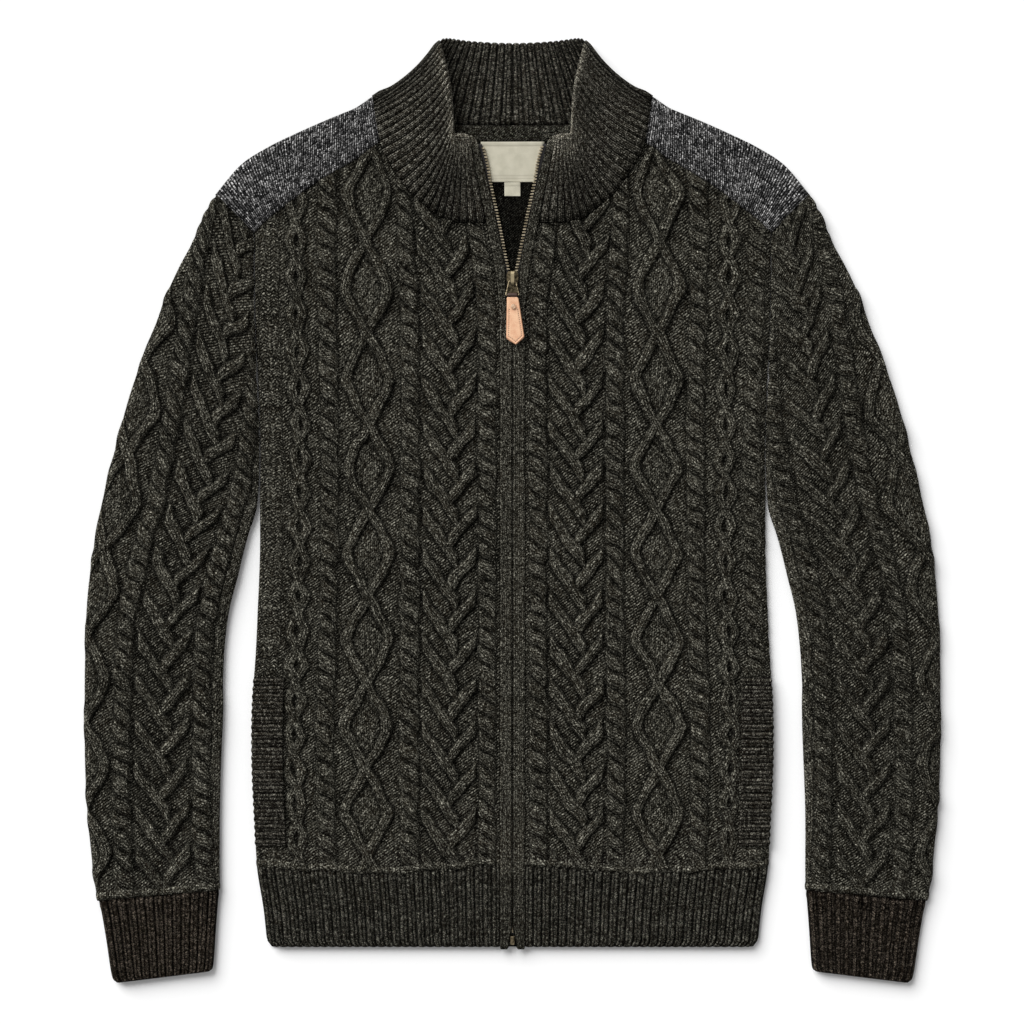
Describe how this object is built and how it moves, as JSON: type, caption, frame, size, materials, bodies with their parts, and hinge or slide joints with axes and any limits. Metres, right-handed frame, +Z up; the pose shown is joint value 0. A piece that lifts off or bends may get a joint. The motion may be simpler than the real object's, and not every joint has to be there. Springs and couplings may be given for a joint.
{
  "type": "zip-up cable-knit cardigan",
  "caption": "Zip-up cardigan with cable-knit fronts and sleeves, plain shoulder yokes, ribbed stand collar, hem, cuffs and side pockets, laid flat with the zip open at the neck.",
  "frame": {"origin": "on the surface it lies on, at the middle of its width and length", "axes": "+Y towards the collar, +Z up out of the surface, +X towards the wearer's left"},
  "size_m": [0.7284, 0.8016, 0.0139],
  "materials": {
    "cable_knit": "chunky cabled wool knit, charcoal brown marl",
    "rib_knit": "ribbed wool knit, charcoal brown",
    "patch_knit": "plain fine knit, slate grey marl",
    "zip_tape": "woven tape, near black",
    "antique_brass": "antique brass, dull",
    "leather": "tan leather, smooth",
    "label_cloth": "woven label, cream"
  },
  "bodies": {
    "garment": {"back": "cable_knit", "hem_back": "rib_knit", "collar": "rib_knit", "zip_slider": "antique_brass", "neck_label": "label_cloth", "size_tab": "label_cloth", "zip_box": "antique_brass", "front_left": "cable_knit", "hem_front_left": "rib_knit", "band_left": "rib_knit", "shoulder_left": "patch_knit", "pocket_welt_left": "rib_knit", "sleeve_left": "cable_knit", "cuff_left": "rib_knit", "zip_tape_left": "zip_tape", "front_right": "cable_knit", "hem_front_right": "rib_knit", "band_right": "rib_knit", "shoulder_right": "patch_knit", "pocket_welt_right": "rib_knit", "sleeve_right": "cable_knit", "cuff_right": "rib_knit", "zip_tape_right": "zip_tape"},
    "link": {"pull_link": "antique_brass"},
    "tab": {"pull_tab": "leather", "pull_rivet": "antique_brass"}
  },
  "joints": [
    {"name": "link_hinge", "type": "hinge", "parent": "garment", "child": "link", "pos_m": [0, 0.1955, 0.0088], "axis": [-1, 0, 0], "range_deg": [0, 150]},
    {"name": "tab_hinge", "type": "hinge", "parent": "link", "child": "tab", "pos_m": [0, 0.1834, 0.0115], "axis": [-1, 0, 0], "range_deg": [0, 30]}
  ]
}
